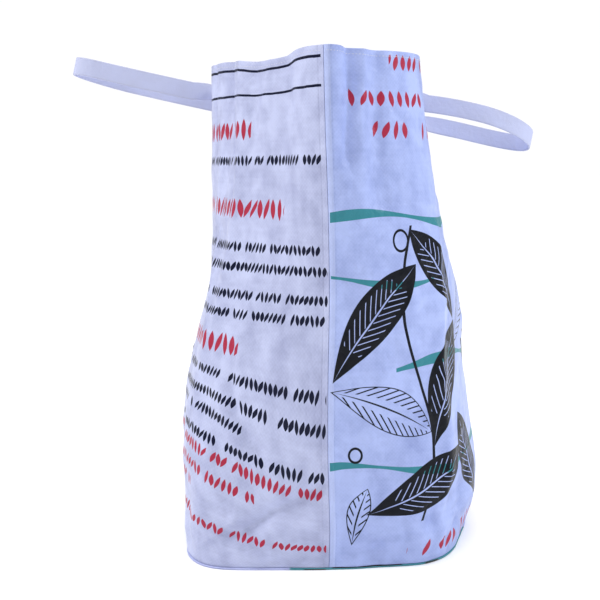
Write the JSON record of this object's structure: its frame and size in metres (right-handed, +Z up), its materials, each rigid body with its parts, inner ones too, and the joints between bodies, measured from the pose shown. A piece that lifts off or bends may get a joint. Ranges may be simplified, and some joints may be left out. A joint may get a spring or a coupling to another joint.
{
  "type": "laundry bag",
  "caption": "Tall open-topped laundry bag of printed woven sack cloth on a square base, pressed narrow at the mouth, with a webbing handle standing out on each side.",
  "frame": {"origin": "middle of the base's underside, on the surface that the bag stands on", "axes": "+Z up, +X towards the panel with the picture, -Y towards the seam that faces the viewer"},
  "size_m": [0.6802, 0.5049, 0.6663],
  "materials": {
    "sack_cloth_picture": "satin laminated weave, printed",
    "sack_cloth_rows": "satin laminated weave, printed",
    "sack_cloth_base": "satin laminated weave",
    "webbing": "matte woven webbing"
  },
  "bodies": {
    "root": {"panel_picture": "sack_cloth_picture", "panel_rows": "sack_cloth_rows", "base_panel": "sack_cloth_base", "handle_right": "webbing", "handle_left": "webbing"}
  },
  "joints": []
}
